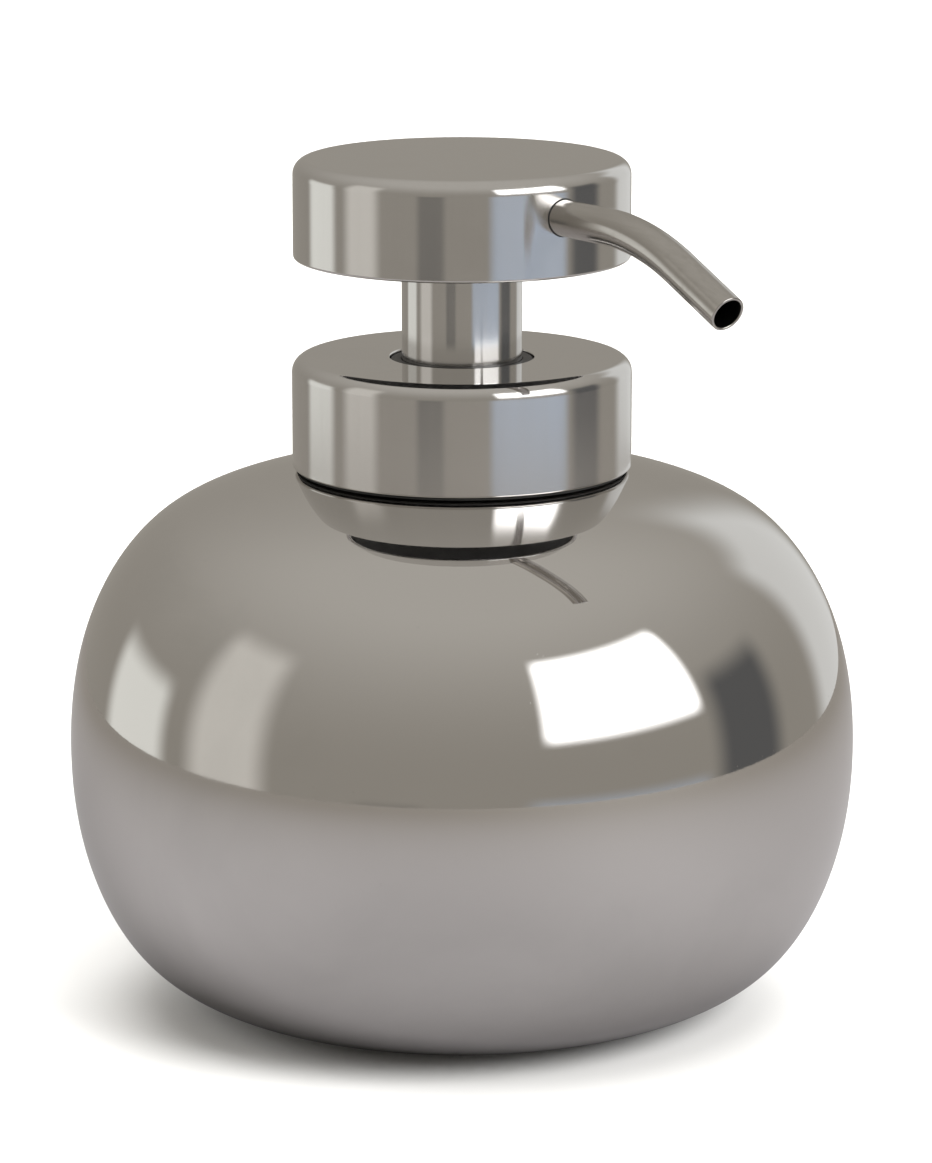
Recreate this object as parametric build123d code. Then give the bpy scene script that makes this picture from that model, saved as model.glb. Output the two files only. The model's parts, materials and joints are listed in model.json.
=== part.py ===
from build123d import *
from math import cos, radians, sin, tan
import os

# Soap pump dispenser. Millimetres, +Z up, origin at the centre of the base, spout towards +X.

# ---- bottle ----
base_r = 24.0                   # flat middle of the base
base_lift = 0.4                 # steel stands this far above the foot pad's underside
crown_z = 72.4                  # where the round shoulder becomes the conical crown
crown_slope = 12.0              # degrees
bottle_outline = [
    (base_r, base_lift),
    (42.4, 6.4),
    (50.0, 18.4),
    (52.7, 35.2),
    (48.9, 55.2),
    (40.4, 66.2),
    (base_r, crown_z),
]
bottle_wall = 1.0
weld_z = 35.2                   # the two halves meet at the widest point
pad_t = 1.3
pad_r = 22.9
plate_t = 1.0
plate_rim = 0.9                 # width of the base plate's turned-down rim

# ---- threaded neck and collar ----
neck_bore_r = 14.4
neck_r = 16.2                   # thread root
neck_hole_r = 16.25             # hole in the crown that the neck stands in
neck_top = 84.0
neck_flange_r = 19.0
neck_flange_t = 1.0
thread_pitch = 3.0
thread_depth = 1.0
thread_root_w = 1.6
thread_crest_w = 0.9
thread_gap = 0.4                # crest to root, inside the collar
thread_low = 76.0
thread_h = 7.0
collar_r = 22.6
collar_low = 73.4
collar_top = 88.1
steel_t = 1.0
edge_round = 2.0                # outer rounding at the tops of the collar and head
collar_hole_r = 9.57
liner_skirt_t = 1.8
liner_top_t = 1.05
liner_ribs = 12
rib_w = 1.4
gasket_in_r = 19.7
gasket_lift = 0.18              # gap over the crown

# ---- pump, fixed half ----
washer_t = 0.8
flange_r = 16.0
flange_t = 1.2
well_in_r = 8.6
well_wall = 1.1
well_floor = 71.5
cylinder_in_r = 5.2
cylinder_wall = 1.3
cylinder_floor = 35.0
floor_t = 1.5
cap_t = 2.0
bush_top = 87.8
bush_r = 9.5
bush_gap = 0.06                 # running gap round the sleeve
dip_r = 2.5
dip_wall = 0.75
dip_low = 5.2
dip_socket = 7.3                # how far the tube goes up into the housing
valve_hole_r = 1.3
inlet_ball_r = 2.0
seat_gap = 0.02
cage_h = 4.0
cage_lip_t = 0.8
vent_r = 0.6

# ---- pump, moving half ----
stem_r = 3.4
stem_bore_r = 1.5
stem_top = 103.0
stem_low = 64.2
piston_low = 62.0
piston_top = 69.0
piston_gap = 0.05
piston_waist_r = 4.5
piston_lip_h = 1.6
spring_r = 4.2
wire_r = 0.4
spring_turns = 8
outlet_seat_z = 99.5
outlet_hole_r = 1.1
outlet_ball_r = 1.6
outlet_chamber_r = 2.0

# ---- head ----
head_r = 22.35
head_low = 101.4
head_top = 114.5
head_base_up = 0.3              # the underside disc sits in from the rim
sleeve_r = 8.0
sleeve_wall = 1.0
sleeve_low = 84.5
sleeve_flange_r = 11.0
sleeve_flange_t = 0.8
core_plug_low = 96.0
core_plate_t = 1.6
core_hub_r = 9.0
core_ribs = 8
spout_r = 2.4
spout_wall = 0.4
spout_z = 109.3
spout_start = 8.0
spout_bend_start = 31.0
spout_bend_r = 35.9
spout_drop = 25.0               # degrees below level
spout_run = 10.75               # straight end after the bend
spout_boss_r = 4.4
seal_wire_r = 0.6
seal_x = 19.6


def crown(r, depth=0.0):
    """Height of the crown cone at radius r, or of the cone that lies depth under it."""
    return crown_z + (base_r - r) * tan(radians(crown_slope)) - depth / cos(radians(crown_slope))


def turned(*points):
    """Solid of revolution from a closed outline of (radius, z) points."""
    return revolve(Plane.XZ * make_face(Polyline(*points, close=True)), Axis.Z)


def ring(inner, outer, low, high):
    """Plain ring, or a disc when inner is 0."""
    body = Pos(0, 0, low) * Cylinder(outer, high - low, align=(Align.CENTER, Align.CENTER, Align.MIN))
    if inner:
        body -= Pos(0, 0, low) * Cylinder(inner, high - low, align=(Align.CENTER, Align.CENTER, Align.MIN))
    return body


def rounded(part, r, z, size):
    """Round the circular edge of radius r at height z."""
    edges = [e for e in part.edges().filter_by(GeomType.CIRCLE)
             if abs(e.radius - r) < 0.01 and abs(e.center().Z - z) < 0.01]
    return fillet(edges, size)


def thread_ridge(root_r, tip_r, low):
    """One helical ridge from root_r to tip_r; its foot is buried a little in the wall that carries it."""
    foot_r = root_r - 0.1 if tip_r > root_r else root_r + 0.1
    mid_r = (root_r + tip_r) / 2
    path = Pos(0, 0, low) * Helix(thread_pitch, thread_h, mid_r)
    section = Polyline(
        (foot_r, -thread_root_w / 2),
        (tip_r, -thread_crest_w / 2),
        (tip_r, thread_crest_w / 2),
        (foot_r, thread_root_w / 2),
        close=True,
    )
    return sweep(Pos(0, 0, low) * (Plane.XZ * make_face(section)), path=path, is_frenet=True)


# ---- bottle pieces ----
def bottle_body():
    """The whole drawn body, before it is parted at the weld into the two halves that it is pressed in."""
    ends = [(1, 0), (-cos(radians(crown_slope)), sin(radians(crown_slope)))]
    outer = Spline(*bottle_outline, tangents=ends, tangent_scalars=[1, 1])
    steps = 16
    inner_points = []
    for i in range(steps + 1):
        along = outer % (i / steps)
        inner_points.append(outer @ (i / steps) + Vector(-along.Y, along.X) * bottle_wall)
    inner = Spline(*inner_points, tangents=ends, tangent_scalars=[1, 1])
    edges = [
        outer,
        Line(outer @ 1, (neck_hole_r, crown(neck_hole_r))),
        Line((neck_hole_r, crown(neck_hole_r)), (neck_hole_r, crown(neck_hole_r, bottle_wall))),
        Line((neck_hole_r, crown(neck_hole_r, bottle_wall)), inner @ 1),
        inner,
        Line(inner @ 0, outer @ 0),
    ]
    return revolve(Plane.XZ * make_face(edges), Axis.Z)


def base_plate():
    return turned(
        (0, pad_t + plate_t),
        (base_r, pad_t + plate_t),
        (base_r, base_lift),
        (base_r - plate_rim, base_lift),
        (base_r - plate_rim, pad_t),
        (0, pad_t),
    )


def foot_pad():
    return rounded(ring(0, pad_r, 0, pad_t), pad_r, 0, 0.3)


def neck_ring():
    under = bottle_wall + 0.05
    wall = turned(
        (neck_bore_r, crown(neck_flange_r, under) - neck_flange_t),
        (neck_flange_r, crown(neck_flange_r, under) - neck_flange_t),
        (neck_flange_r, crown(neck_flange_r, under)),
        (neck_r, crown(neck_r, under)),
        (neck_r, neck_top),
        (neck_bore_r, neck_top),
    )
    wall = rounded(wall, neck_r, neck_top, 0.4)
    return wall + thread_ridge(neck_r, neck_r + thread_depth, thread_low)


# ---- collar pieces ----
def collar_shell():
    inner_r = collar_r - steel_t
    cup = turned(
        (collar_hole_r, collar_top),
        (collar_r, collar_top),
        (collar_r, collar_low),
        (inner_r, collar_low),
        (inner_r, collar_top - steel_t),
        (collar_hole_r, collar_top - steel_t),
    )
    cup = rounded(cup, collar_r, collar_top, edge_round)
    cup = rounded(cup, inner_r, collar_top - steel_t, edge_round - steel_t)
    cup = rounded(cup, collar_r, collar_low, 0.3)
    return rounded(cup, collar_hole_r, collar_top, 0.25)


def collar_liner():
    root_r = neck_r + thread_depth + thread_gap
    fit_r = collar_r - steel_t - 0.05
    cap_r = collar_r - edge_round - 0.1
    seat_z = collar_top - steel_t
    foot_z = thread_low - 1.0
    cap = turned(
        (collar_hole_r + 0.03, seat_z),
        (cap_r, seat_z),
        (cap_r, seat_z - liner_top_t),
        (root_r + liner_skirt_t, seat_z - liner_top_t),
        (root_r + liner_skirt_t, foot_z + 1),
        (fit_r, foot_z + 1),
        (fit_r, foot_z),
        (root_r, foot_z),
        (root_r, seat_z - liner_top_t),
        (collar_hole_r + 0.03, seat_z - liner_top_t),
    )
    rib_in = root_r + liner_skirt_t - 0.2
    rib = Box(fit_r - rib_in, rib_w, seat_z - liner_top_t - foot_z,
              align=(Align.MIN, Align.CENTER, Align.MIN))
    for i in range(liner_ribs):
        cap += Rot(0, 0, 360 / liner_ribs * i) * Pos(rib_in, 0, foot_z) * rib
    return cap + thread_ridge(root_r, root_r - thread_depth, thread_low + thread_pitch / 2)


def collar_gasket():
    outer_r = collar_r - 0.45
    inner_top = thread_low - 1.0
    step_r = collar_r - steel_t - 0.05
    lift = -gasket_lift
    return turned(
        (gasket_in_r, crown(gasket_in_r, lift)),
        (outer_r, crown(outer_r, lift)),
        (outer_r, collar_low - 0.02),
        (step_r, collar_low - 0.02),
        (step_r, inner_top),
        (gasket_in_r, inner_top),
    )


# ---- pump housing and the pieces fixed to it ----
def pump_housing():
    low = cylinder_floor - floor_t
    flange_low = neck_top + washer_t
    well_r = well_in_r + well_wall
    cylinder_r = cylinder_in_r + cylinder_wall
    socket_r = dip_r + 0.02
    seat_rise = inlet_ball_r * 1.3 - valve_hole_r
    body = turned(
        (valve_hole_r, low),
        (valve_hole_r + seat_rise, low + seat_rise),
        (valve_hole_r + seat_rise, cylinder_floor),
        (cylinder_in_r, cylinder_floor),
        (cylinder_in_r, well_floor),
        (well_in_r, well_floor),
        (well_in_r, flange_low + flange_t),
        (flange_r, flange_low + flange_t),
        (flange_r, flange_low),
        (well_r, flange_low),
        (well_r, well_floor - floor_t),
        (cylinder_r, well_floor - floor_t),
        (cylinder_r, low + 1),
        (cylinder_r - 1, low),
        (socket_r + 1.4, low - 1),
        (socket_r + 1.4, low - dip_socket),
        (socket_r, low - dip_socket),
        (socket_r, low),
    )
    vent = Pos(0, 0, piston_top - piston_lip_h - 0.8) * Rot(0, 90, 0) * Cylinder(
        vent_r, cylinder_r + 1, align=(Align.CENTER, Align.CENTER, Align.MIN))
    return body - vent


def cylinder_cap():
    body = ring(stem_r + 0.1, cylinder_in_r - 0.02, well_floor - cap_t, well_floor)
    return body + ring(stem_r + 0.1, cylinder_in_r + 1.2, well_floor, well_floor + 0.6)


def flange_gasket():
    return ring(well_in_r + well_wall + 0.2, flange_r - 0.2, neck_top, neck_top + washer_t)


def guide_bush():
    seat = neck_top + washer_t + flange_t
    body = turned(
        (sleeve_r + bush_gap, seat - 2.5),
        (well_in_r - 0.03, seat - 2.5),
        (well_in_r - 0.03, seat),
        (bush_r, seat),
        (bush_r, bush_top),
        (sleeve_r + bush_gap, bush_top),
    )
    return rounded(body, bush_r, bush_top, 0.3)


def ball_cage():
    bore_r = inlet_ball_r + 0.5
    low = cylinder_floor
    body = ring(bore_r, cylinder_in_r - 0.05, low, low + cage_h - cage_lip_t)
    body += ring(inlet_ball_r * 0.7, cylinder_in_r - 0.05, low + cage_h - cage_lip_t, low + cage_h)
    slot = Pos(0, 0, low + 1) * Box(2 * cylinder_in_r, 1.2, cage_h, align=(Align.CENTER, Align.CENTER, Align.MIN))
    core = ring(0, spring_r - wire_r - 0.2, low, low + cage_h)
    return body - (slot & core) - (Rot(0, 0, 90) * slot & core)


def dip_tube():
    top = cylinder_floor - floor_t - 0.1
    body = ring(dip_r - dip_wall, dip_r, dip_low, top)
    wedge = Pos(0, 0, dip_low) * Rot(0, 45, 0) * Box(20, 20, 20, align=(Align.CENTER, Align.CENTER, Align.MAX))
    return body - Pos(-dip_r, 0, 0) * wedge


# ---- valve balls ----
def ball_on_seat(radius, hole_r, hole_z):
    """Ball resting on the 45 degree cone that opens upwards from hole_r at hole_z."""
    return Pos(0, 0, hole_z - hole_r + radius * 2 ** 0.5 + seat_gap) * Sphere(radius)


# ---- moving half of the pump ----
def piston():
    outer_r = cylinder_in_r - piston_gap
    socket_r = stem_r + 0.03
    return turned(
        (stem_bore_r, piston_low),
        (outer_r, piston_low),
        (outer_r, piston_low + piston_lip_h),
        (piston_waist_r, piston_low + piston_lip_h + 0.4),
        (piston_waist_r, piston_top - piston_lip_h - 0.4),
        (outer_r, piston_top - piston_lip_h),
        (outer_r, piston_top),
        (socket_r, piston_top),
        (socket_r, stem_low),
        (stem_bore_r, stem_low),
    )


def return_spring():
    low = cylinder_floor + cage_h + wire_r
    high = piston_low - wire_r
    path = Pos(0, 0, low) * Helix((high - low) / spring_turns, high - low, spring_r)
    section = Plane(origin=path @ 0, z_dir=path % 0) * Circle(wire_r)
    return sweep(section, path=path, is_frenet=True)


def stem():
    chamber_z = outlet_seat_z + outlet_chamber_r - outlet_hole_r
    return turned(
        (stem_bore_r, stem_low),
        (stem_r, stem_low),
        (stem_r, stem_top),
        (outlet_chamber_r, stem_top),
        (outlet_chamber_r, chamber_z),
        (outlet_hole_r, outlet_seat_z),
        (outlet_hole_r, outlet_seat_z - 1),
        (stem_bore_r, outlet_seat_z - 1.5),
    )


# ---- head pieces ----
def head_shell():
    inner_r = head_r - steel_t
    cup = turned(
        (0, head_top),
        (head_r, head_top),
        (head_r, head_low),
        (inner_r, head_low),
        (inner_r, head_top - steel_t),
        (0, head_top - steel_t),
    )
    cup = rounded(cup, head_r, head_top, edge_round)
    cup = rounded(cup, inner_r, head_top - steel_t, edge_round - steel_t)
    cup = rounded(cup, head_r, head_low, 0.4)
    hole = Pos(0, 0, spout_z) * Rot(0, 90, 0) * Cylinder(
        spout_r + 0.03, head_r + 2, align=(Align.CENTER, Align.CENTER, Align.MIN))
    return cup - hole


def head_base():
    low = head_low + head_base_up
    return ring(sleeve_r + 0.02, head_r - steel_t - 0.05, low, low + steel_t)


def stem_sleeve():
    seat = head_low + head_base_up + steel_t
    body = ring(sleeve_r - sleeve_wall, sleeve_r, sleeve_low, seat + sleeve_flange_t)
    body += ring(sleeve_r - sleeve_wall, sleeve_flange_r, seat, seat + sleeve_flange_t)
    return rounded(body, sleeve_r, sleeve_low, 0.3)


def head_core():
    plate_z = head_low + head_base_up + steel_t + sleeve_flange_t
    roof = head_top - steel_t
    fit_r = head_r - steel_t - 0.3
    cage_h = 1.6
    body = ring(0, sleeve_r - sleeve_wall - 0.03, core_plug_low, plate_z)
    body += ring(0, fit_r, plate_z, plate_z + core_plate_t)
    body += ring(0, core_hub_r, plate_z, roof)
    rib = Pos(core_hub_r - 0.5, 0, plate_z) * Box(
        fit_r - core_hub_r - 0.5, rib_w, roof - plate_z, align=(Align.MIN, Align.CENTER, Align.MIN))
    for i in range(core_ribs):
        body += Rot(0, 0, 360 / core_ribs * i) * rib
    along_x = Pos(0, 0, spout_z) * Rot(0, 90, 0)
    upright = (Align.CENTER, Align.CENTER, Align.MIN)
    body += (along_x * Cylinder(spout_boss_r, fit_r - 0.9, align=upright)) & ring(0, fit_r, plate_z, roof)
    body -= along_x * Cylinder(spout_r - spout_wall, spout_start, align=upright)
    body -= along_x * Pos(0, 0, spout_start) * Cylinder(spout_r + 0.02, fit_r, align=upright)
    body -= along_x * Pos(0, 0, seal_x - seal_wire_r) * Cylinder(
        spout_r + 2 * seal_wire_r + 0.1, 9, align=upright)
    body -= ring(0, stem_r + 0.02, core_plug_low, stem_top)
    body -= ring(0, outlet_ball_r - 0.3, stem_top, stem_top + cage_h)
    for turn in (0, 90):
        body -= Pos(0, 0, stem_top) * Rot(0, 0, turn) * Box(4, 1, cage_h, align=upright)
    return body - ring(0, outlet_chamber_r, stem_top + cage_h, spout_z)


def spout_tube():
    bend_x = spout_bend_start + spout_bend_r * sin(radians(spout_drop))
    bend_z = spout_z - spout_bend_r * (1 - cos(radians(spout_drop)))
    tip_x = bend_x + spout_run * cos(radians(spout_drop))
    tip_z = bend_z - spout_run * sin(radians(spout_drop))
    path = Line((spout_start, 0, spout_z), (spout_bend_start, 0, spout_z))
    path += TangentArc((spout_bend_start, 0, spout_z), (bend_x, 0, bend_z), tangent=(1, 0, 0))
    path += Line((bend_x, 0, bend_z), (tip_x, 0, tip_z))
    mouth = Plane(origin=(spout_start, 0, spout_z), z_dir=(1, 0, 0))
    section = mouth * (Circle(spout_r) - Circle(spout_r - spout_wall))
    return sweep(section, path=path)


def spout_seal():
    return Pos(seal_x, 0, spout_z) * Rot(0, 90, 0) * Torus(spout_r + seal_wire_r + 0.03, seal_wire_r)


body = bottle_body()
weld = Plane.XY.offset(weld_z)
pieces = {
    "body_upper": split(body, bisect_by=weld, keep=Keep.TOP),
    "body_lower": split(body, bisect_by=weld, keep=Keep.BOTTOM),
    "base_plate": base_plate(),
    "foot_pad": foot_pad(),
    "neck_ring": neck_ring(),
    "collar_shell": collar_shell(),
    "collar_liner": collar_liner(),
    "collar_gasket": collar_gasket(),
    "pump_housing": pump_housing(),
    "cylinder_cap": cylinder_cap(),
    "flange_gasket": flange_gasket(),
    "guide_bush": guide_bush(),
    "ball_cage": ball_cage(),
    "dip_tube": dip_tube(),
    "inlet_ball": ball_on_seat(inlet_ball_r, valve_hole_r, cylinder_floor - floor_t),
    "piston": piston(),
    "return_spring": return_spring(),
    "stem": stem(),
    "outlet_ball": ball_on_seat(outlet_ball_r, outlet_hole_r, outlet_seat_z),
    "head_shell": head_shell(),
    "head_base": head_base(),
    "stem_sleeve": stem_sleeve(),
    "head_core": head_core(),
    "spout_tube": spout_tube(),
    "spout_seal": spout_seal(),
}

os.makedirs("parts", exist_ok=True)
for name, piece in pieces.items():
    export_step(piece, f"parts/{name}.step")
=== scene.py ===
import json
from math import atan2, ceil, cos, degrees, hypot, pi, radians, sin, tan

import bpy
import numpy as np
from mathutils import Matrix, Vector


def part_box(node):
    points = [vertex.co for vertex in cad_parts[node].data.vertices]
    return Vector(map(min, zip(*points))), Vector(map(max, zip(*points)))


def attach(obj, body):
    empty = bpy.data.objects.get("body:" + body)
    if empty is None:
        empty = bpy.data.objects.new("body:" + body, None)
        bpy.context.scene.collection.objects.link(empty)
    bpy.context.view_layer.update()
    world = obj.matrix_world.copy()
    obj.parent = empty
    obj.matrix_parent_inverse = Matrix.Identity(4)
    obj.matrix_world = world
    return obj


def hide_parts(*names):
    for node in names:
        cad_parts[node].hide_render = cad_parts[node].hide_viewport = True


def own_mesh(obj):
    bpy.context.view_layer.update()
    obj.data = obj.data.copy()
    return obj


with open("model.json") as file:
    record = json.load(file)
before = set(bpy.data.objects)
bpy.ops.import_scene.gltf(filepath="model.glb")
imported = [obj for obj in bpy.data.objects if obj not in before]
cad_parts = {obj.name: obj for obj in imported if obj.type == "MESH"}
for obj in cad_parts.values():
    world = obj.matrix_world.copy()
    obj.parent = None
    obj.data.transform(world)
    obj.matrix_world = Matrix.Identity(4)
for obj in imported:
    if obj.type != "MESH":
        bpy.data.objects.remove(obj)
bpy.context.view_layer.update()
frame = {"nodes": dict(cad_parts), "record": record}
mm = 0.001
print("frame loaded")


# outlines and meshes

def soften(corners, arcSteps=8, longest=2.0, closed=True):
    # corners are (radius, height, rounding) in mm; gives points with their direction of travel
    count = len(corners)
    points = []

    def add(place, heading):
        if not points or hypot(place[0] - points[-1][0], place[1] - points[-1][1]) > 1e-6:
            points.append((place[0], place[1], heading[0], heading[1]))

    def straight(start, end):
        run = end - start
        length = np.linalg.norm(run)
        if length < 1e-9:
            return
        steps = max(1, ceil(length / longest))
        for k in range(steps + 1):
            add(start + run * k / steps, run / length)

    place = [np.array(c[:2], float) for c in corners]
    leaves = []
    for i in range(count):
        here, rounding = place[i], corners[i][2]
        before, after = place[i - 1], place[(i + 1) % count]
        inward = (here - before) / np.linalg.norm(here - before)
        outward = (after - here) / np.linalg.norm(after - here)
        turn = atan2(inward[0] * outward[1] - inward[1] * outward[0], float(inward @ outward))
        openEnd = not closed and i in (0, count - 1)
        reach = 0 if openEnd else rounding * tan(abs(turn) / 2)
        leaves.append((here - inward * reach, here + outward * reach, inward, turn, rounding))
    for i in range(count if closed else count - 1):
        enter, leave, inward, turn, rounding = leaves[i]
        if not (not closed and i == 0):
            side = np.array([-inward[1], inward[0]]) * (1 if turn > 0 else -1)
            centre = enter + side * rounding
            for k in range(arcSteps + 1):
                a = turn * k / arcSteps
                across, along = inward
                heading = np.array([across * cos(a) - along * sin(a), across * sin(a) + along * cos(a)])
                out = np.array([heading[1], -heading[0]]) * (1 if turn > 0 else -1)
                add(centre + out * rounding, heading)
        straight(leave, leaves[(i + 1) % count][0])
    if closed:
        first, last = points[0], points[-1]
        if hypot(first[0] - last[0], first[1] - last[1]) < 1e-6:
            points.pop()
    return points


def smoothCurve(points, startHeading, endHeading, steps):
    # cubic spline through the points, by chord length, with the heading given at both ends
    p = np.array(points, float)
    gaps = np.linalg.norm(np.diff(p, axis=0), axis=1)
    along = np.concatenate([[0], np.cumsum(gaps)])
    count = len(p)
    a = np.zeros((count, count))
    b = np.zeros((count, 2))
    a[0, 0] = a[-1, -1] = 1
    b[0], b[-1] = startHeading, endHeading
    for i in range(1, count - 1):
        left, right = gaps[i - 1], gaps[i]
        a[i, i - 1 : i + 2] = right, 2 * (left + right), left
        b[i] = 3 * (right / left * (p[i] - p[i - 1]) + left / right * (p[i + 1] - p[i]))
    slope = np.linalg.solve(a, b)
    made = []
    for s in np.linspace(0, along[-1], steps):
        i = min(int(np.searchsorted(along, s, side="right")) - 1, count - 2)
        h = gaps[i]
        t = (s - along[i]) / h
        place = ((1 + 2 * t) * (1 - t) ** 2 * p[i] + t * (1 - t) ** 2 * h * slope[i]
                 + t * t * (3 - 2 * t) * p[i + 1] + t * t * (t - 1) * h * slope[i + 1])
        way = (6 * t * (t - 1) * (p[i] - p[i + 1]) / h + (1 - t) * (1 - 3 * t) * slope[i]
               + t * (3 * t - 2) * slope[i + 1])
        way = way / np.linalg.norm(way)
        made.append((place[0], place[1], way[0], way[1]))
    return made


def straightAxis(s):
    return np.array([0, 0, s]), np.array([1, 0, 0]), np.array([0, 1, 0]), np.array([0, 0, 1])


def turned(name, outline, sides=192, closed=True, axis=straightAxis):
    # spins an outline of (radius, distance along the axis, heading) round an axis that may bend
    vertices, normals, rings = [], [], []
    for r, s, goR, goS in outline:
        centre, across, up, forward = axis(s)
        onAxis = r < 1e-9
        rings.append((len(vertices), 1 if onAxis else sides))
        for k in range(1 if onAxis else sides):
            a = 2 * pi * k / sides
            spoke = across * cos(a) + up * sin(a)
            vertices.append((centre + spoke * r) * mm)
            normals.append(forward * (1 if goR < 0 else -1) if onAxis else spoke * goS - forward * goR)
    faces = []
    for i in range(len(rings) if closed else len(rings) - 1):
        (one, countOne), (two, countTwo) = rings[i], rings[(i + 1) % len(rings)]
        for k in range(sides):
            n = (k + 1) % sides
            loop = [one + k % countOne, one + n % countOne, two + n % countTwo, two + k % countTwo]
            faces.append(list(dict.fromkeys(loop)))
    mesh = bpy.data.meshes.new(name)
    mesh.from_pydata([tuple(v) for v in vertices], [], faces)
    mesh.polygons.foreach_set("use_smooth", [True] * len(faces))
    mesh.update()
    mesh.normals_split_custom_set_from_vertices([tuple(n / np.linalg.norm(n)) for n in normals])
    piece = bpy.data.objects.new(name, mesh)
    bpy.context.scene.collection.objects.link(piece)
    return piece


def settle(piece, *nodes, rideOn=None):
    # the piece stands for its CAD nodes, moves with their body and takes their finish
    record = frame["record"]
    bodies = record["behaviour"]["bodies"]
    slot = next(s["material_slot"] for s in record["subparts"] if s["node"] == nodes[0])
    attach(piece, rideOn or next(b for b, held in bodies.items() if nodes[0] in held))
    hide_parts(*nodes)
    piece.data.materials.append(finishes[slot])
    return piece


def reach(node):
    # outer radius about the pump's axis, lowest and highest point, in mm
    low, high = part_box(node)
    return high.y / mm, low.z / mm, high.z / mm


# shader maths

class Signal:
    def __init__(self, shader, socket):
        self.shader = shader
        self.socket = socket

    def math(self, operation, *values, clamp=False):
        made = self.shader.node("Math", {"operation": operation, "use_clamp": clamp}, dict(enumerate(values)))
        return Signal(self.shader, made.outputs[0])

    def __add__(self, other):
        return self.math("ADD", self, other)

    def __radd__(self, other):
        return self.math("ADD", other, self)

    def __sub__(self, other):
        return self.math("SUBTRACT", self, other)

    def __rsub__(self, other):
        return self.math("SUBTRACT", other, self)

    def __mul__(self, other):
        return self.math("MULTIPLY", self, other)

    def __rmul__(self, other):
        return self.math("MULTIPLY", other, self)

    def __truediv__(self, other):
        return self.math("DIVIDE", self, other)

    def __rtruediv__(self, other):
        return self.math("DIVIDE", other, self)


class Shader:
    def __init__(self, tree):
        self.tree = tree
        tree.nodes.clear()

    def node(self, kind, settings=None, sockets=None):
        made = self.tree.nodes.new("ShaderNode" + kind)
        for key, value in (settings or {}).items():
            if key == "stops":
                ramp = made.color_ramp
                while len(ramp.elements) < len(value):
                    ramp.elements.new(0.5)
                for element, (place, colour) in zip(ramp.elements, value):
                    element.position = place
                    element.color = colour
            else:
                setattr(made, key, value)
        for key, value in (sockets or {}).items():
            socket = made.inputs[key]
            if isinstance(value, Signal):
                self.tree.links.new(value.socket, socket)
            elif isinstance(value, bpy.types.NodeSocket):
                self.tree.links.new(value, socket)
            else:
                socket.default_value = value
        return made

    def signal(self, kind, settings=None, sockets=None, output=0):
        return Signal(self, self.node(kind, settings, sockets).outputs[output])

    def mix(self, factor, one, two):
        return self.signal("Mix", {"data_type": "RGBA"}, {0: factor, 6: one, 7: two}, 2)

    def step(self, value, low, high):
        # 0 below low, 1 above high, smooth between
        return self.signal("MapRange", {"interpolation_type": "SMOOTHSTEP"}, {0: value, 1: low, 2: high})

    def window(self, value, low, high, soft):
        return self.step(value, low - soft, low + soft) * (1 - self.step(value, high - soft, high + soft))

    def noise(self, vector, scale, detail=3, roughness=0.5, distortion=0.0):
        return self.signal("TexNoise", {}, {"Vector": vector, "Scale": scale, "Detail": detail,
                                            "Roughness": roughness, "Distortion": distortion})

    def stretched(self, vector, scale):
        return self.signal("Mapping", {}, {"Vector": vector, "Scale": scale})


def linear(red, green, blue, gain=1.0):
    # display colour, 0 to 255, as the light that shows it
    levels = [v / 255 for v in (red, green, blue)]
    return tuple(gain * (v / 12.92 if v <= 0.04045 else ((v + 0.055) / 1.055) ** 2.4) for v in levels) + (1,)


def newMaterial(name):
    material = bpy.data.materials.new(name)
    material.use_nodes = True
    shader = Shader(material.node_tree)
    place = shader.signal("TexCoord", output=3)
    return material, shader, place


def finishMaterial(shader, sockets, bump=None):
    if bump:
        height, strength, depth = bump
        sockets["Normal"] = shader.signal("Bump", {}, {"Height": height, "Strength": strength,
                                                       "Distance": depth})
    surface = shader.node("BsdfPrincipled", {}, sockets)
    shader.node("OutputMaterial", {}, {"Surface": surface.outputs[0]})


# finishes

mirrorSteel = {
    "tint": (0.69, 0.675, 0.66),
    "hazeTint": (0.61, 0.60, 0.585),
    "roughness": 0.035,
    "haze": 0.05,               # extra roughness where wiped
    "rubScale": 26,
    "scratch": 0.02,
}


def mirrorFinish():
    material, shader, place = newMaterial("mirror_steel")
    wiped = shader.step(shader.noise(place, mirrorSteel["rubScale"], 5, 0.6, 0.4), 0.48, 0.72)
    fine = shader.noise(shader.stretched(place, (900, 900, 5200)), 1.0, 2, 0.6)
    specks = shader.step(shader.noise(place, 2200, 1, 0.4), 0.74, 0.8)
    roughness = mirrorSteel["roughness"] + wiped * mirrorSteel["haze"] * fine + specks * 0.12
    colour = shader.mix(wiped * 0.5 + specks * 0.3, (*mirrorSteel["tint"], 1), (*mirrorSteel["hazeTint"], 1))
    finishMaterial(shader, {"Base Color": colour, "Metallic": 1.0, "Roughness": roughness},
                   bump=(fine, mirrorSteel["scratch"], 0.00002))
    return material


polishedSteel = {
    "tint": (0.70, 0.69, 0.68),
    "dullTint": (0.63, 0.615, 0.60),
    "side": 0.105,              # roughness round the sides, spread upright by the turning lines
    "top": 0.035,               # roughness of the flat tops
    "grain": 0.03,
    "wiped": 0.015,
    "anisotropy": 1.0,
    "lines": 0.03,
}


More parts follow.
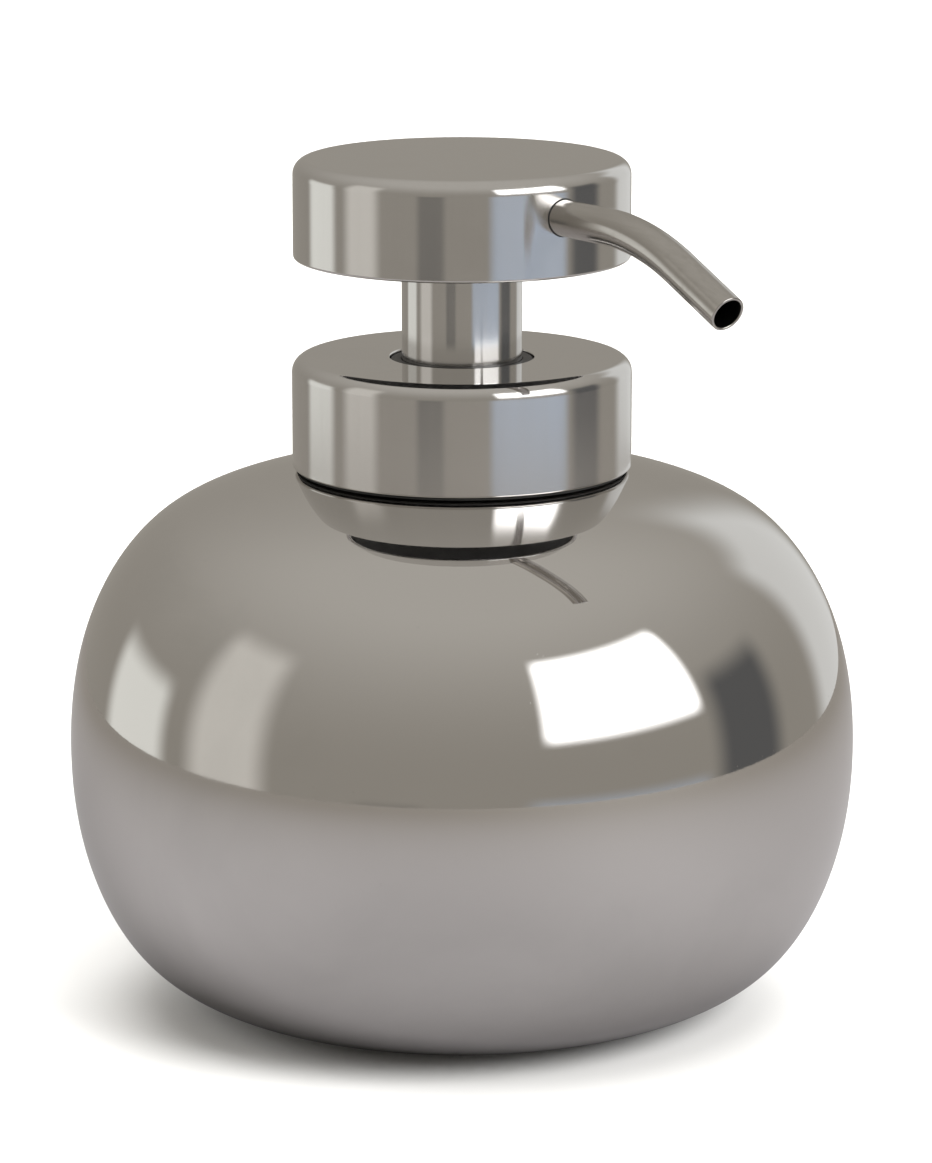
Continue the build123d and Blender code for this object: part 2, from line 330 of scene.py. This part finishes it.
def polishedFinish():
    material, shader, place = newMaterial("polished_steel")
    rings = shader.noise(shader.stretched(place, (40, 40, 7000)), 1.0, 3, 0.6)
    drawn = shader.noise(shader.stretched(place, (900, 900, 14)), 1.0, 3, 0.55)
    normal = shader.node("SeparateXYZ", {}, {0: shader.signal("NewGeometry", output=1)})
    tilt = Signal(shader, normal.outputs[2])
    flat = shader.step(tilt.math("ABSOLUTE", tilt), 0.35, 0.9)
    wiped = shader.step(shader.noise(place, 55, 4, 0.6, 0.3), 0.5, 0.75)
    spread = polishedSteel["side"] + drawn * polishedSteel["grain"]
    even = polishedSteel["top"] + wiped * polishedSteel["wiped"]
    roughness = spread * (1 - flat) + even * flat
    dull = drawn * 0.35 + wiped * 0.25
    colour = shader.mix(dull, (*polishedSteel["tint"], 1), (*polishedSteel["dullTint"], 1))
    finishMaterial(shader, {"Base Color": colour, "Metallic": 1.0, "Roughness": roughness,
                            "Anisotropic": polishedSteel["anisotropy"], "Anisotropic Rotation": 0.25},
                   bump=(rings * (1 - flat), polishedSteel["lines"], 0.00001))
    return material


spoutSteel = {"tint": (0.58, 0.56, 0.54), "darkTint": (0.42, 0.40, 0.37), "roughness": 0.12, "streak": 0.10}


def spoutFinish():
    material, shader, place = newMaterial("spout_steel")
    streaks = shader.noise(shader.stretched(place, (140, 1500, 1500)), 1.0, 3, 0.6)
    worn = shader.step(shader.noise(place, 240, 4, 0.6), 0.5, 0.72)
    roughness = spoutSteel["roughness"] + streaks * spoutSteel["streak"] + worn * 0.05
    colour = shader.mix(streaks * 0.5 + worn * 0.3, (*spoutSteel["tint"], 1), (*spoutSteel["darkTint"], 1))
    finishMaterial(shader, {"Base Color": colour, "Metallic": 1.0, "Roughness": roughness},
                   bump=(streaks, 0.08, 0.00002))
    return material


def grainedFinish(name, colour, shade, roughness, grainScale, bumpDepth, metallic):
    # moulded, machined or rubbery finish with a fine grain and cloudy colour
    material, shader, place = newMaterial(name)
    grain = shader.noise(place, grainScale, 3, 0.55)
    cloud = shader.noise(place, grainScale / 18, 4, 0.6)
    blotch = shader.step(cloud, 0.4, 0.7)
    finishMaterial(shader, {
        "Base Color": shader.mix(blotch * 0.6 + grain * 0.4, (*colour, 1), (*shade, 1)),
        "Metallic": metallic,
        "Roughness": roughness + grain * 0.12 + blotch * 0.06,
    }, bump=(grain, 0.3, bumpDepth))
    return material


# name, colour, second colour, roughness, grain scale, grain depth in metres, metallic
grained = {
    "turned_steel": ("machined_steel", (0.58, 0.57, 0.55), (0.48, 0.47, 0.46), 0.26, 1800, 0.00001, 1),
    "spring_steel": ("spring_wire", (0.52, 0.52, 0.52), (0.40, 0.40, 0.41), 0.24, 1500, 0.00001, 1),
    "ball_steel": ("ball_steel", (0.72, 0.72, 0.72), (0.62, 0.62, 0.62), 0.05, 900, 0.000002, 1),
    "white_plastic": ("white_plastic", (0.82, 0.82, 0.80), (0.74, 0.74, 0.71), 0.38, 1600, 0.00002, 0),
    "clear_plastic": ("natural_plastic", (0.74, 0.77, 0.77), (0.64, 0.67, 0.68), 0.30, 1400, 0.00002, 0),
    "black_plastic": ("black_plastic", (0.016, 0.016, 0.017), (0.028, 0.027, 0.026), 0.36, 1600, 0.00002, 0),
    "black_rubber": ("black_rubber", (0.012, 0.012, 0.012), (0.022, 0.021, 0.020), 0.62, 1200, 0.00003, 0),
    "soft_pad": ("dark_foam", (0.045, 0.045, 0.046), (0.07, 0.069, 0.067), 0.8, 900, 0.00006, 0),
    "foam_washer": ("white_foam", (0.76, 0.76, 0.74), (0.66, 0.66, 0.63), 0.75, 900, 0.00006, 0),
}
finishes = {"mirror_steel": mirrorFinish(), "polished_steel": polishedFinish(), "spout_steel": spoutFinish()}
for slot, values in grained.items():
    finishes[slot] = grainedFinish(*values)
print("finishes made")


# bottle

bottle = {
    # (radius, height), from the flat base to the start of the conical crown
    "outline": [(24.0, 0.4), (42.4, 6.4), (50.0, 18.4), (52.7, 35.2), (48.9, 55.2), (40.4, 66.2),
                (24.0, 72.4)],
    "crownSlope": 12.0,
    "neckHole": 16.25,
    "wall": 1.0,
    "steps": 144,
    "insideSteps": 60,
    "coneSteps": 12,
    "sides": 384,
}


def bottleShell():
    slope = radians(bottle["crownSlope"])
    outer, inside = (smoothCurve(bottle["outline"], (1, 0), (-cos(slope), sin(slope)), bottle[steps])
                     for steps in ("steps", "insideSteps"))
    wall = bottle["wall"]
    inner = [(r - s * wall, z + g * wall, -g, -s) for r, z, g, s in reversed(inside)]
    lastR, lastZ = outer[-1][:2]
    hole, coneSteps = bottle["neckHole"], bottle["coneSteps"]
    coneEnd = (hole, lastZ + (lastR - hole) * tan(slope))
    cone = []
    for k in range(1, coneSteps + 1):
        r = lastR + (hole - lastR) * k / coneSteps
        cone.append((r, lastZ + (lastR - r) * tan(slope), -cos(slope), sin(slope)))
    drop = wall / cos(slope)
    innerCone = [(r, z - drop, cos(slope), -sin(slope)) for r, z, g, s in reversed(cone)]
    rim = [(coneEnd[0], coneEnd[1], 0, -1), (coneEnd[0], coneEnd[1] - drop, 0, -1)]
    foot = [(inner[-1][0], inner[-1][1], 0, -1), (outer[0][0], outer[0][1], 0, -1)]
    outline = outer + cone + rim + innerCone + inner + foot
    return turned("body_shell_visual", outline, bottle["sides"])


settle(bottleShell(), "body_upper", "body_lower")

base = {"rim": 0.9, "plate": 1.0, "round": 0.2}


def basePlate():
    r, low, high = reach("base_plate")
    padTop = high - base["plate"]
    rounding = base["round"]
    corners = [(0, padTop, 0), (r - base["rim"], padTop, rounding), (r - base["rim"], low, rounding),
               (r, low, rounding), (r, high, rounding), (0, high, 0)]
    return turned("base_plate_visual", soften(corners, closed=False), closed=False)


def footPad():
    r, low, high = reach("foot_pad")
    corners = [(0, low, 0), (r, low, 0.3), (r, high, 0.2), (0, high, 0)]
    return turned("foot_pad_visual", soften(corners, closed=False), closed=False)


settle(basePlate(), "base_plate")
settle(footPad(), "foot_pad")
print("bottle made")


# collar

collar = {"wall": 1.0, "hole": 9.57, "topRound": 2.0, "lipRound": 0.3, "holeRound": 0.25, "sides": 256}


def collarShell():
    r, low, high = reach("collar_shell")
    wall, hole = collar["wall"], collar["hole"]
    corners = [
        (r, low, collar["lipRound"]),
        (r, high, collar["topRound"]),
        (hole, high, collar["holeRound"]),
        (hole, high - wall, collar["holeRound"]),
        (r - wall, high - wall, collar["topRound"] - wall),
        (r - wall, low, collar["lipRound"]),
    ]
    return turned("collar_shell_visual", soften(corners), collar["sides"])


settle(collarShell(), "collar_shell")

bush = {"neck": 8.57, "bore": 8.06, "flangeUp": 2.5, "round": 0.3}


def guideBush():
    r, low, high = reach("guide_bush")
    corners = [
        (bush["bore"], low, 0.15),
        (bush["neck"], low, 0.15),
        (bush["neck"], low + bush["flangeUp"], 0.05),
        (r, low + bush["flangeUp"], 0.1),
        (r, high, bush["round"]),
        (bush["bore"], high, 0.12),
    ]
    return turned("guide_bush_visual", soften(corners), 160)


settle(guideBush(), "guide_bush")

gasket = {"inner": 19.7, "step": 21.55, "clear": 0.18, "lipTop": 73.38, "round": 0.18}


def collarGasket():
    # squeezed ring that shows as the dark line under the collar
    r, low, high = reach("collar_gasket")
    slope = radians(bottle["crownSlope"])
    crownR, crownZ = bottle["outline"][-1]

    def over(radius):
        return crownZ + (crownR - radius) * tan(slope) + gasket["clear"] / cos(slope)

    rounding = gasket["round"]
    corners = [
        (gasket["inner"], over(gasket["inner"]), rounding),
        (r, over(r), rounding),
        (r, gasket["lipTop"], rounding),
        (gasket["step"], gasket["lipTop"], 0.05),
        (gasket["step"], high, rounding),
        (gasket["inner"], high, rounding),
    ]
    return turned("collar_gasket_visual", soften(corners), 256)


settle(collarGasket(), "collar_gasket")
print("collar made")


# head

head = {"wall": 1.0, "topRound": 2.0, "lipRound": 0.4, "baseHole": 8.02, "sides": 256}


def headShell():
    r, low, high = reach("head_shell")
    wall = head["wall"]
    corners = [
        (0, high - wall, 0),
        (r - wall, high - wall, head["topRound"] - wall),
        (r - wall, low, head["lipRound"]),
        (r, low, head["lipRound"]),
        (r, high, head["topRound"]),
        (0, high, 0),
    ]
    return turned("head_shell_visual", soften(corners, closed=False), head["sides"], closed=False)


def headBase():
    r, low, high = reach("head_base")
    hole = head["baseHole"]
    corners = [(hole, low, 0.15), (r, low, 0.15), (r, high, 0.15), (hole, high, 0.15)]
    return turned("head_base_visual", soften(corners), 192)


settle(headShell(), "head_shell")
settle(headBase(), "head_base")

sleeve = {"radius": 8.0, "wall": 1.0, "flange": 0.8}


def stemSleeve():
    r, low, high = reach("stem_sleeve")
    bore = sleeve["radius"] - sleeve["wall"]
    corners = [
        (bore, low, 0.2),
        (sleeve["radius"], low, 0.3),
        (sleeve["radius"], high - sleeve["flange"], 0.2),
        (r, high - sleeve["flange"], 0.15),
        (r, high, 0.15),
        (bore, high, 0.15),
    ]
    return turned("stem_sleeve_visual", soften(corners), 160)


settle(stemSleeve(), "stem_sleeve")

spout = {"radius": 2.4, "wall": 0.4, "level": 109.3, "start": 8.0, "bendStart": 31.0, "bendRadius": 35.9,
         "drop": 25.0, "end": 10.75, "sides": 96}


def spoutAxis(s):
    # level out of the head, one bend, then straight down to the mouth
    bend, radius = spout["bendStart"], spout["bendRadius"]
    drop = radians(spout["drop"])
    angle = min(max((s - bend) / radius, 0), drop)
    x = min(s, bend) + radius * sin(angle)
    z = spout["level"] - radius * (1 - cos(angle))
    rest = max(s - bend - radius * drop, 0)
    x, z = x + rest * cos(angle), z - rest * sin(angle)
    return (np.array([x, 0, z]), np.array([sin(angle), 0, cos(angle)]), np.array([0, -1, 0]),
            np.array([cos(angle), 0, -sin(angle)]))


def spoutTube():
    first = spout["start"]
    last = spout["bendStart"] + spout["bendRadius"] * radians(spout["drop"]) + spout["end"]
    outer, inner = spout["radius"], spout["radius"] - spout["wall"]
    corners = [(inner, first, 0.1), (outer, first, 0.1), (outer, last, 0.16), (inner, last, 0.16)]
    return turned("spout_tube_visual", soften(corners, 5, 0.5), spout["sides"], axis=spoutAxis)


settle(spoutTube(), "spout_tube")

seal = {
    "bore": 2.405,
    "neck": 2.425,
    "ring": 3.63,
    "round": 0.5,
    "lip": 2.52,
    "lipOut": 0.05,
    "lipThick": 0.08,
    "stiff": 1.0,               # this much of the neck stays square, the rest follows the head's round side
    "sides": 96,
}


def levelAxis(s):
    return np.array([s, 0, spout["level"]]), np.array([0, 0, 1]), np.array([0, -1, 0]), np.array([1, 0, 0])


def spoutSeal():
    # rubber ring inside the head, with a thin lip that shows where the spout comes out
    low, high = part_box("spout_seal")
    back, front = low.x / mm, high.x / mm
    shell = reach("head_shell")[0]
    face = shell + seal["lipOut"]
    corners = [
        (seal["bore"], back, 0.05),
        (seal["ring"], back, seal["round"]),
        (seal["ring"], front, seal["round"]),
        (seal["neck"], front, 0.01),
        (seal["neck"], face - seal["lipThick"], 0.005),
        (seal["lip"], face - seal["lipThick"], 0.01),
        (seal["lip"], face, 0.03),
        (seal["bore"], face, 0.01),
    ]
    piece = turned("spout_seal_visual", soften(corners, 5), seal["sides"], axis=levelAxis)
    side = shell * mm
    for vertex in piece.data.vertices:
        if vertex.co.x > (front + seal["stiff"]) * mm:
            vertex.co.x += (side * side - vertex.co.y ** 2) ** 0.5 - side
    return piece


settle(spoutSeal(), "spout_seal")
print("head made")


# return spring, deep in the pump cylinder

spring = {
    "radius": 4.2,
    "wire": 0.4,
    "turns": 8,
    "closedTurns": 1,
    "closedPitch": 0.86,
    "stroke": 12.0,
    "sides": 20,
    "step": 0.4,
}
coilLow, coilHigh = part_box("return_spring")


def springAxis(s):
    # coil with closed ends and an even pitch between them
    bottom, top = coilLow.z / mm + spring["wire"], coilHigh.z / mm - spring["wire"]
    wholeAngle = 2 * pi * spring["turns"]
    share = s / (spring["radius"] * wholeAngle)
    working = (spring["turns"] - 2 * spring["closedTurns"]) / spring["turns"]
    span = min(max((share - (1 - working) / 2) / working, 0), 1)
    closedRise = spring["closedPitch"] * spring["turns"]
    z = bottom + closedRise * share + (top - bottom - closedRise) * span
    pitch = closedRise + ((top - bottom - closedRise) / working if 0 < span < 1 else 0)
    angle = wholeAngle * share
    spoke = np.array([cos(angle), sin(angle), 0])
    around = spring["radius"] * wholeAngle
    forward = np.array([-sin(angle) * around, cos(angle) * around, pitch])
    forward = forward / np.linalg.norm(forward)
    return spoke * spring["radius"] + np.array([0, 0, z]), spoke, np.cross(forward, spoke), forward


def returnSpring():
    length = spring["radius"] * 2 * pi * spring["turns"]
    wire = spring["wire"]
    corners = [(0, 0, 0), (wire, 0, 0.1), (wire, length, 0.1), (0, length, 0)]
    return turned("return_spring_visual", soften(corners, 3, spring["step"], closed=False), spring["sides"],
                  closed=False, axis=springAxis)


coil = settle(returnSpring(), "return_spring", rideOn="pump_engine")
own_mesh(coil)
print("spring made")


# pieces that keep their CAD shape

for entry in frame["record"]["subparts"]:
    node = frame["nodes"][entry["node"]]
    if not node.hide_render:
        node.data.materials.clear()
        node.data.materials.append(finishes[entry["material_slot"]])


# studio

view = {"azimuth": 54.0, "elevation": 12.82, "distance": 671.0, "aim": 56.6, "right": 0.54, "up": 0.70,
        "lens": 154.77, "sensor": 36.0}
toCamera = Vector((sin(radians(view["azimuth"])), -cos(radians(view["azimuth"])), 0))
toRight = Vector((cos(radians(view["azimuth"])), sin(radians(view["azimuth"])), 0))


def makeCamera():
    rise = radians(view["elevation"])
    back = toCamera * cos(rise) + Vector((0, 0, 1)) * sin(rise)
    above = back.cross(toRight)
    target = Vector((0, 0, view["aim"])) + toRight * view["right"] + above * view["up"]
    camera = bpy.data.objects.new("camera", bpy.data.cameras.new("camera"))
    camera.data.lens, camera.data.sensor_width = view["lens"], view["sensor"]
    camera.data.clip_start = 0.01
    camera.location = (target + back * view["distance"]) * mm
    camera.rotation_mode = "QUATERNION"
    camera.rotation_quaternion = back.to_track_quat("Z", "Y")
    bpy.context.scene.collection.objects.link(camera)
    bpy.context.scene.camera = camera


makeCamera()

# soft boxes, reflectors and dark flags round the object, as the steel sees them, in display grey or tint
# compass angle from the camera to the viewer's right, height angle, edge softness, all in degrees
studio = {
    "background": (255, 255, 255),
    "low": (132, 128, 121),
    "high": (160, 157, 151),
    "rise": (0, 70),
    "steelShare": 0.68,         # what the steel gives back of the light that meets it
    "panels": {
        "pale_reflector": {"across": (-125, -97), "height": (-40, 10), "soft": 4, "colour": (205, 205, 200)},
        "left_strip": {"across": (-85, -60), "height": (-40, 35), "soft": 5, "colour": (185, 182, 176)},
        "dark_flag": {"across": (-30, -12), "height": (-40, -8), "soft": 3, "colour": (70, 70, 70)},
        "cool_fill": {"across": (20, 75), "height": (-40, -8), "soft": 4, "colour": (170, 185, 205)},
        "side_flag": {"across": (80, 105), "height": (-40, 20), "soft": 5, "colour": (80, 80, 80)},
        "back_strip": {"across": (130, 165), "height": (-40, 30), "soft": 6, "colour": (190, 190, 188)},
        "soft_box": {"across": (25, 75), "height": (12, 42), "soft": 3, "colour": (255, 255, 255), "gain": 2.5},
    },
}


def studioWorld():
    world = bpy.data.worlds.new("studio")
    bpy.context.scene.world = world
    world.use_nodes = True
    shader = Shader(world.node_tree)
    way = shader.signal("TexCoord", output=0)

    def along(vector):
        return shader.signal("VectorMath", {"operation": "DOT_PRODUCT"}, {0: way, 1: tuple(vector)}, 1)

    def glow(colour, gain=1.0):
        return linear(*colour, gain / studio["steelShare"])

    ahead, side, up = along(toCamera), along(toRight), along((0, 0, 1))
    azimuth = side.math("ARCTAN2", side, ahead) * degrees(1)
    height = up.math("ARCSINE", up) * degrees(1)
    light = shader.mix(shader.step(height, *studio["rise"]), glow(studio["low"]), glow(studio["high"]))
    for panel in studio["panels"].values():
        soft = panel["soft"]
        mask = shader.window(azimuth, *panel["across"], soft) * shader.window(height, *panel["height"], soft)
        light = shader.mix(mask, light, glow(panel["colour"], panel.get("gain", 1.0)))
    cameraRay = shader.signal("LightPath")
    seen = shader.mix(cameraRay, light, linear(*studio["background"]))
    sky = shader.node("Background", {}, {"Color": seen, "Strength": 1.0})
    shader.node("OutputWorld", {}, {"Surface": sky.outputs[0]})


studioWorld()


def sheetOf(name, corners, height, material):
    mesh = bpy.data.meshes.new(name)
    mesh.from_pydata([(x, y, height) for x, y in corners], [], [tuple(range(len(corners)))])
    mesh.materials.append(material)
    made = bpy.data.objects.new(name, mesh)
    bpy.context.scene.collection.objects.link(made)
    return made


floor = {
    "half": 1.6,
    "height": -0.0002,
    "colour": (0.80, 0.80, 0.79),
    "cloud": (0.83, 0.83, 0.82),
    "roughness": 0.6,
}


def paleFloor():
    material, shader, place = newMaterial("pale_floor")
    cloud = shader.noise(place, 3, 4, 0.5)
    colour = shader.mix(cloud, (*floor["colour"], 1), (*floor["cloud"], 1))
    finishMaterial(shader, {"Base Color": colour, "Roughness": floor["roughness"]})
    far = floor["half"]
    corners = [(-far, -far), (far, -far), (far, far), (-far, far)]
    made = sheetOf("studio_floor", corners, floor["height"], material)
    made.visible_glossy = False


table = {"radius": 380.0, "corners": 96, "near": (132, 130, 131), "far": (105, 101, 96), "shadeFade": (60, 340)}


def tableCard():
    # plain round table top that only the steel sees, with painted shade that makes it a little darker further
    # out
    material, shader, place = newMaterial("table_card")
    out = shader.signal("VectorMath", {"operation": "LENGTH"}, {0: place}, 1) * (1 / mm)
    # painted shade: the colour darkens from near to far, as if less light fell on the table away from the
    # object
    colour = shader.mix(shader.step(out, *table["shadeFade"]), linear(*table["near"]), linear(*table["far"]))
    finishMaterial(shader, {"Base Color": colour, "Roughness": 0.8})
    far = table["radius"] * mm
    spread = [2 * pi * k / table["corners"] for k in range(table["corners"])]
    card = sheetOf("table_card", [(far * cos(a), far * sin(a)) for a in spread], -0.0001, material)
    card.visible_camera = False
    card.visible_diffuse = False
    card.visible_shadow = False


paleFloor()
tableCard()

lights = [
    # name, compass angle, height angle, distance, size, power
    ("window_light", 48, 34, 1.6, 0.9, 26),
    ("ceiling_light", 0, 80, 1.8, 1.8, 30),
    ("fill_light", -80, 30, 1.8, 1.2, 8),
    ("far_floor_light", 180, 34, 3.2, 3.0, 90),
]
for name, angle, rise, distance, across, power in lights:
    a, e = radians(angle), radians(rise)
    way = (toCamera * cos(a) + toRight * sin(a)) * cos(e) + Vector((0, 0, sin(e)))
    lamp = bpy.data.lights.new(name, "AREA")
    lamp.shape, lamp.size, lamp.energy = "DISK", across, power
    made = bpy.data.objects.new(name, lamp)
    made.location = way * distance
    made.rotation_mode = "QUATERNION"
    made.rotation_quaternion = way.to_track_quat("Z", "Y")
    made.visible_glossy = False
    bpy.context.scene.collection.objects.link(made)

bpy.context.scene.view_settings.view_transform = "Standard"
print("studio made")
